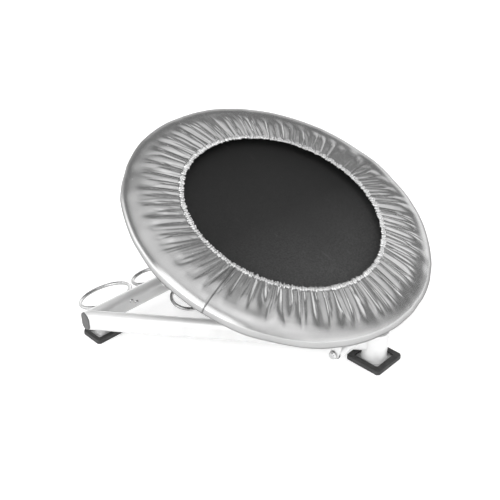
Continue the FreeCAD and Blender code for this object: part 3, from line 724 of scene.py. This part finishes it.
def gathered_band(name, centre_r, centre_z, half_r, half_z, gathers, depth, seed, stations):
    """An elastic casing: a flattened roll, puckered by the elastic inside it."""
    theta = full_turn(stations)
    section = full_turn(BAND_SECTION)
    rng = np.random.default_rng(seed)
    pucker = np.zeros((stations, len(section)))
    for k in range(gathers):
        centre = 2 * math.pi * (k + rng.uniform(-BAND_PLACE_STRAY, BAND_PLACE_STRAY)) / gathers
        skew = rng.normal(0, BAND_SKEW_STRAY)
        wide = 2 * math.pi / gathers * rng.uniform(*BAND_WIDE_RANGE)
        tall = rng.uniform(*BAND_TALL_RANGE)
        near = wrapped(theta - centre)
        window = np.abs(near) < wide * BAND_WINDOW
        across = (near[window, None] - skew * np.cos(section)[None, :]) / wide
        ridge = tall * np.clip(1 - across ** 2, 0, None)
        pucker[window] = np.maximum(pucker[window], ridge)
    swell = 1 + depth * (pucker - BAND_MEAN)
    swings, amount = BAND_WANDER
    wander = ripple(theta, swings, seed + 1)[:, None] * amount
    radius = centre_r + wander + half_r * swell * np.cos(section)[None, :]
    height = centre_z + wander + half_z * swell * np.sin(section)[None, :]
    return ring_object(name, theta, radius, height, MATERIALS["elastic"])


def build_hems():
    hem = gathered_band("hem_ruffle", HEM_R, PANEL_TOP + 0.0005, half_r=HEM_BAND, half_z=0.0042,
                        gathers=250, depth=0.95, seed=11, stations=3000)
    dress(hem, "bed", "elastic", "hem_elastic")
    under = gathered_band("underside_hem", RETURN_R, -NOSE_R + 0.0015, half_r=0.0045,
                          half_z=0.0032, gathers=260, depth=0.45, seed=12, stations=2000)
    dress(under, "bed", "elastic")


FOAM_INNER_R = 0.338
FOAM_OUTER_R = FOAM_R - 0.001
FOAM_BOTTOM = 0.017
FOAM_TOP = 0.0265
FOAM_EDGE_R = 0.003
FOAM_ARC_STEP = 18
FOAM_STATIONS = 720


def foam_profile():
    """A rectangle with rounded corners, as radii and heights."""
    inner, outer = FOAM_INNER_R + FOAM_EDGE_R, FOAM_OUTER_R - FOAM_EDGE_R
    bottom, top = FOAM_BOTTOM + FOAM_EDGE_R, FOAM_TOP - FOAM_EDGE_R
    profile = []
    corner_arcs = ((outer, top, 0), (inner, top, 90), (inner, bottom, 180), (outer, bottom, 270))
    for r, z, start in corner_arcs:
        for turn in range(0, 91, FOAM_ARC_STEP):
            angle = math.radians(start + turn)
            profile.append((r + FOAM_EDGE_R * math.cos(angle), z + FOAM_EDGE_R * math.sin(angle)))
    return np.array(profile)


def build_foam():
    """Closed-cell foam under the panel, a little uneven at its sides and its lower face."""
    profile = foam_profile()
    theta = full_turn(FOAM_STATIONS)
    radius = np.tile(profile[:, 0], (len(theta), 1)) + ripple(theta, 40, 21)[:, None] * 0.0006
    height = np.tile(profile[:, 1], (len(theta), 1))
    low = profile[:, 1] < (FOAM_BOTTOM + FOAM_TOP) / 2
    height[:, low] += ripple(theta, 72, 22)[:, None] * 0.0005
    ring = ring_object("foam_ring", theta, radius, height, MATERIALS["foam"])
    dress(ring, "bed", "foam", "foam_pad")


# ---------------------------------------------------------------- mat and springs

SPRINGS = 36
MAT_BOTTOM = 0.0050
MAT_TOP = 0.0068
WIRE_LEVEL = 0.0019
WEBBING_BOTTOM = 0.0034
COIL_INNER = 0.396
COIL_OUTER = 0.452
COIL_R = 0.0048
WIRE_R = 0.00085
COIL_TURNS = 19
COIL_STEPS = 12
HOOK_R = 0.0042
HOOK_FADE = 1.4
V_TIP_R = 0.383
V_BAR_R = MAT_R - 0.008
MAT_STATIONS = 720
MAT_SHEET = 0.0014
# The mat's edge is drawn out and up at each spring, sags a little in the middle and waves slightly.
PULL_OUT = 0.0013
PULL_UP = 0.0004
MAT_DIP = 0.0012
MAT_WAVE = 0.0004
PULL_EASE = (0.33, 0.036)
CROWN_EASE = (0.30, 0.06)
# The underside goes down with the middle of the mat and comes level over the webbing.
LEVEL_EASE = (0.32, 0.02)


def spring_angles():
    return [2 * math.pi * (k + 0.5) / SPRINGS for k in range(SPRINGS)]


def build_mat():
    """A taut woven disc, drawn out a little towards every spring."""
    theta = full_turn(MAT_STATIONS)
    wide_apart = np.linspace(0.004, 0.34, 40)
    close_by = np.linspace(0.345, MAT_R - 0.0015, 10)
    rings = np.concatenate([wide_apart, close_by])
    pull = np.cos(SPRINGS * (theta - math.pi / SPRINGS))[:, None]
    radius = rings[None, :] + PULL_OUT * pull * eased(rings, PULL_EASE)[None, :]
    dip = -MAT_DIP * (1 - (rings / MAT_R) ** 2)
    wave = ripple(theta, 9, 31)[:, None] * MAT_WAVE * (rings / MAT_R)[None, :]
    crown = PULL_UP * pull * eased(rings, CROWN_EASE)[None, :]
    top = MAT_TOP + dip[None, :] + wave + crown
    lowest = MAT_BOTTOM - MAT_DIP * (1 - eased(rings, LEVEL_EASE))
    under = np.maximum(top - MAT_SHEET, lowest[None, :])
    verts = around(theta, np.hstack([radius, radius[:, ::-1]]), np.hstack([top, under[:, ::-1]]))
    columns = 2 * len(rings)
    faces = lattice_faces(MAT_STATIONS, columns, False)
    rim = [(i * columns, (i + 1) % MAT_STATIONS * columns) for i in range(MAT_STATIONS)]
    centre = len(verts)
    verts = np.vstack([verts, [0, 0, top[0, 0]], [0, 0, under[0, 0]]])
    faces += [(centre, a, b) for a, b in rim]
    faces += [(centre + 1, b + columns - 1, a + columns - 1) for a, b in rim]
    mat = new_object("bounce_mat", verts, faces, MATERIALS["woven_mat"])
    dress(mat, "mat", "woven_mat", "jump_mat")


STITCH_ROWS = (0.3475, 0.3525, 0.3655)
STITCH_PITCH = 0.0052
STITCH_HALF = 0.0018
STITCH_R = 0.0004
STITCH_ARCH = (0.0003, -0.0003, -0.00045, -0.0003, 0.0003)


def build_stitching():
    """Rows of stitches that hold the webbing to the mat, seen from below."""
    parts = []
    level = WEBBING_BOTTOM + np.array(STITCH_ARCH)
    for row_r in STITCH_ROWS:
        count = int(2 * math.pi * row_r / STITCH_PITCH)
        half = STITCH_HALF / row_r
        for k in range(count):
            spread = np.linspace(-half, half, len(level)) + 2 * math.pi * k / count
            points = np.stack([row_r * np.cos(spread), row_r * np.sin(spread), level], -1)
            parts.append(tube_data(points, STITCH_R, 5))
    stitches = new_object("webbing_stitches", *merged(parts), THREAD)
    dress(stitches, "mat", "webbing")


STRAP_THICK = 0.0013
STRAP_HALF_WIDTH = 0.0105
STRAP_BEND_R = 0.0024
STRAP_ROWS = 5


def strap_data():
    """Vertices and faces of one strap on +X: a thick line in the XZ plane, drawn out along Y."""
    line = [(0.343, WEBBING_BOTTOM - 0.0004), (0.350, WEBBING_BOTTOM - STRAP_BEND_R),
            (V_BAR_R - 0.003, WIRE_LEVEL - STRAP_BEND_R)]
    line += [(V_BAR_R + STRAP_BEND_R * math.cos(a), WIRE_LEVEL + STRAP_BEND_R * math.sin(a))
             for a in np.linspace(-math.pi / 2, math.pi / 3, 7)]
    line = np.array(line)
    step = np.gradient(line, axis=0)
    step /= np.linalg.norm(step, axis=1)[:, None]
    offset = np.stack([step[:, 1], -step[:, 0]], axis=-1) * STRAP_THICK
    loop = np.vstack([line, (line + offset)[::-1]])
    rows = np.linspace(-STRAP_HALF_WIDTH, STRAP_HALF_WIDTH, STRAP_ROWS)
    verts = np.array([(r, y, z) for y in rows for r, z in loop])
    columns = len(loop)
    base = (STRAP_ROWS - 1) * columns
    faces = lattice_faces(STRAP_ROWS, columns, True)[:base]
    for a in range(len(line) - 1):
        b = a + 1
        c, d = columns - 1 - b, columns - 1 - a
        faces.append((a, b, c, d))
        faces.append((base + d, base + c, base + b, base + a))
    return verts, faces


def build_webbing_loops():
    """Short straps round the inner bar of each V ring, sewn back to the webbing."""
    verts, faces = strap_data()
    parts = [(turned(verts, angle), faces) for angle in spring_angles()]
    loops = new_object("ring_straps", *merged(parts), MATERIALS["webbing"])
    dress(loops, "mat", "webbing")


def spring_points():
    """One extension spring along +X: hook over the V ring, close coil, hook into the frame tube."""
    eye_r = V_TIP_R - 0.0005
    points = [(eye_r + HOOK_R * math.cos(a + math.pi), 0.0, HOOK_R * math.sin(a + math.pi))
              for a in np.linspace(-math.radians(150), math.radians(90), 14)]
    turns = np.linspace(0, COIL_TURNS, COIL_TURNS * COIL_STEPS + 1)
    coil = [(COIL_INNER + (COIL_OUTER - COIL_INNER) * t / COIL_TURNS,
             COIL_R * math.sin(2 * math.pi * t), COIL_R * math.cos(2 * math.pi * t)) for t in turns]
    start = np.array(points[-1])
    points += [tuple(start * (1 - t) + np.array(coil[0]) * t) for t in np.linspace(0, 1, 6)[1:-1]]
    points += coil
    reach = FRAME_R - FRAME_TUBE_R - 0.0004
    for t in np.linspace(0, 1, 8)[1:]:
        x = COIL_OUTER + (reach - COIL_OUTER) * t
        points.append((x, 0.0, COIL_R * (1 - smooth(t * HOOK_FADE))))
    return np.array(points) + (0, 0, WIRE_LEVEL)


def build_springs():
    verts, faces = tube_data(spring_points(), WIRE_R, 7)
    for k, angle in enumerate(spring_angles()):
        spring = new_object(f"spring_{k + 1:02d}", turned(verts, angle), faces,
                            MATERIALS["spring_wire"])
        dress(spring, None, "spring_wire", "springs")
        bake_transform(spring)


# ---------------------------------------------------------------- welds

BAR_X = -0.2874
TUBE_Z = 0.072
TUBE_HALF_WIDTH = 0.021
TUBE_STRAIGHT = 0.012
CORNER_Y = 0.5419
BAR_END_Y = 0.554
ARM_AIM_X = 0.423
POST_X = 0.408
POST_R = 0.038
PLATE_TOP = 0.009
STUB_Y = 0.4867
STUB_STRAIGHT = 0.015
BEAD_LEVEL = PLATE_TOP + 0.0003
# A bead's radius swings by BEAD_SCALLOP from BEAD_THIN up, as shares of BEAD_R, at each BEAD_STEP.
BEAD_R = 0.0019
BEAD_THIN = 0.8
BEAD_SCALLOP = 0.22
BEAD_STEP = 0.0042
OVAL_STATIONS = 140
# How quickly an oval's points pass from one half circle to the other.
OVAL_SNAP = 6


def oval(half_width, straight, stations):
    """Points on a flat oval: two half circles held apart by straight sides."""
    turn = full_turn(stations)
    across = half_width * np.cos(turn)
    along = half_width * np.sin(turn) + straight * np.tanh(OVAL_SNAP * np.sin(turn))
    return across, along


def bead(points, seed, closed=True):
    """A weld bead: a thin roll whose thickness steps as the weld pool did."""
    points = np.asarray(points)
    step = np.linalg.norm(np.diff(points, axis=0), axis=1)
    distance = np.concatenate([[0], np.cumsum(step)])
    rng = np.random.default_rng(seed)
    phase = distance / BEAD_STEP * math.pi + rng.uniform(0, 3)
    scallop = BEAD_SCALLOP * np.abs(np.sin(phase))
    return tube_data(points, BEAD_R * (BEAD_THIN + scallop), 7, closed)


def arm_end_line(side):
    """Where a side arm's outline meets the round post."""
    corner = np.array([BAR_X, side * CORNER_Y])
    aim = np.array([ARM_AIM_X, 0.0]) - corner
    aim /= np.linalg.norm(aim)
    lateral = np.array([-aim[1], aim[0]])
    points = []
    for a, b in zip(*oval(TUBE_HALF_WIDTH, TUBE_STRAIGHT, OVAL_STATIONS)):
        start = corner + lateral * a
        gap = start - np.array([POST_X, 0.0])
        middle = gap.dot(aim)
        reach = -middle - math.sqrt(max(middle ** 2 - gap.dot(gap) + POST_R ** 2, 0.0))
        x, y = start + aim * reach
        points.append((x, y, TUBE_Z + b))
    return points


def mitre_line(side):
    """Where a side arm's outline meets the rear bar, as far out as the bar's end."""
    aim = Vector((ARM_AIM_X - BAR_X, -side * CORNER_Y)).normalized()
    middle = (aim + Vector((0, -side))).normalized()
    across, rise = oval(TUBE_HALF_WIDTH, TUBE_STRAIGHT, OVAL_STATIONS)
    half = OVAL_STATIONS // 2
    points = []
    for a, b in zip(np.roll(across, half), np.roll(rise, half)):
        y = side * CORNER_Y + a * middle.y / middle.x
        if abs(y) < BAR_END_Y:
            points.append((BAR_X + a, y, TUBE_Z + b))
    return points


def build_welds():
    beads = []
    for side in (-1, 1):
        beads.append(bead(arm_end_line(side), 50 + side))
        beads.append(bead(mitre_line(side), 60 + side, closed=False))
        foot = [(BAR_X + a, side * STUB_Y + b, BEAD_LEVEL)
                for a, b in zip(*oval(TUBE_HALF_WIDTH, STUB_STRAIGHT, 96))]
        beads.append(bead(foot, 70 + side))
    post = [(POST_X + POST_R * math.cos(a), POST_R * math.sin(a), BEAD_LEVEL)
            for a in full_turn(150)]
    beads.append(bead(post, 80))
    welds = new_object("weld_beads", *merged(beads), MATERIALS["silver_coat"], in_bed=False)
    dress(welds, "base", "silver_coat")


# ---------------------------------------------------------------- stage

CAMERA_PLACE = Vector((1.3376, -1.4669, 1.3608))
CAMERA_AZIMUTH = 44.795
CAMERA_ELEVATION = 30.005
CAMERA_ROLL = 0.305
CAMERA_LENS = 50.9


def build_camera():
    data = bpy.data.cameras.new("camera")
    data.lens = CAMERA_LENS
    data.sensor_width = 36.0
    camera = bpy.data.objects.new("camera", data)
    bpy.context.scene.collection.objects.link(camera)
    turn = Matrix.Rotation(math.radians(CAMERA_AZIMUTH), 4, "Z")
    tip = Matrix.Rotation(math.radians(90 - CAMERA_ELEVATION), 4, "X")
    roll = Matrix.Rotation(math.radians(-CAMERA_ROLL), 4, "Z")
    camera.matrix_world = Matrix.Translation(CAMERA_PLACE) @ turn @ tip @ roll
    bpy.context.scene.camera = camera


def sun_light(name, toward, strength, spread):
    """A very broad, even lamp that shines from the direction toward."""
    data = bpy.data.lights.new(name, "SUN")
    data.energy = strength
    data.angle = math.radians(spread)
    light = bpy.data.objects.new(name, data)
    light.rotation_euler = Vector(toward).to_track_quat("Z", "Y").to_euler()
    bpy.context.scene.collection.objects.link(light)


KEY_TOWARD = (0.20, -0.84, 0.50)
KEY_STRENGTH = 0.95
KEY_SPREAD = 54
FLOOR_HALF = 80.0
FLOOR_Z = -0.0005

# The studio: a white sweep low down, dark higher up and a grey ceiling, by height.
SKY_STRENGTH = 2.9
SKY = ((0.0, 0.95), (0.29, 0.92), (0.41, 0.42), (0.50, 0.12), (0.72, 0.07), (0.83, 0.24),
       (0.92, 0.38), (1.0, 0.46))
# A band at the floor's edge that stays white through the dim patches, also by height.
HORIZON = ((0.0, 0.95), (0.08, 0.95), (0.11, 0.0))
# Patches by closeness to a direction: three dim ones, a lamp in front and a fill from above.
DIM_PATCHES = (
    ((0.60, -0.61, 0.52), ((0.80, 1.0), (0.97, 0.28))),
    ((0.93, 0.37, 0.0), ((0.44, 1.0), (0.64, 0.26))),
    ((-0.99, 0.09, 0.1), ((0.86, 1.0), (0.95, 0.35))),
)
GLOW_PATCHES = (
    (KEY_TOWARD, ((0.84, 0.0), (0.97, 0.36))),
    ((0.78, 0.08, 0.62), ((0.72, 0.0), (0.95, 0.44))),
)


def build_world():
    """The background: ramps by height and by closeness to a direction, joined one by one."""
    world = bpy.data.worlds.new("studio")
    bpy.context.scene.world = world
    world.use_nodes = True
    tree = world.node_tree
    direction = tree.nodes.new("ShaderNodeTexCoord").outputs["Generated"]
    split = tree.nodes.new("ShaderNodeSeparateXYZ")
    tree.links.new(direction, split.inputs["Vector"])
    height = split.outputs["Z"]
    colour = grey_ramp(tree, height, SKY)
    for kind, patches in (("MULTIPLY", DIM_PATCHES), ("ADD", GLOW_PATCHES)):
        for toward, stops in patches:
            patch = grey_ramp(tree, dot_with(tree, direction, toward), stops)
            colour = mix_colours(tree, kind, 1.0, colour, patch)
    colour = mix_colours(tree, "LIGHTEN", 1.0, colour, grey_ramp(tree, height, HORIZON))
    background = tree.nodes["Background"].inputs
    tree.links.new(colour, background["Color"])
    background["Strength"].default_value = SKY_STRENGTH


def build_stage():
    size = FLOOR_HALF
    corner_points = [(-size, -size, 0), (size, -size, 0), (size, size, 0), (-size, size, 0)]
    floor = new_object("floor", corner_points, [(0, 1, 2, 3)], floor_paper(), in_bed=False,
                       smooth_shading=False)
    floor.location.z = FLOOR_Z
    build_world()
    bpy.context.scene.view_settings.view_transform = "Standard"
    sun_light("key", KEY_TOWARD, KEY_STRENGTH, KEY_SPREAD)


build_camera()
finish_cad_nodes()
build_foam()
build_cover()
build_hems()
build_mat()
build_stitching()
build_webbing_loops()
build_springs()
build_welds()
build_stage()
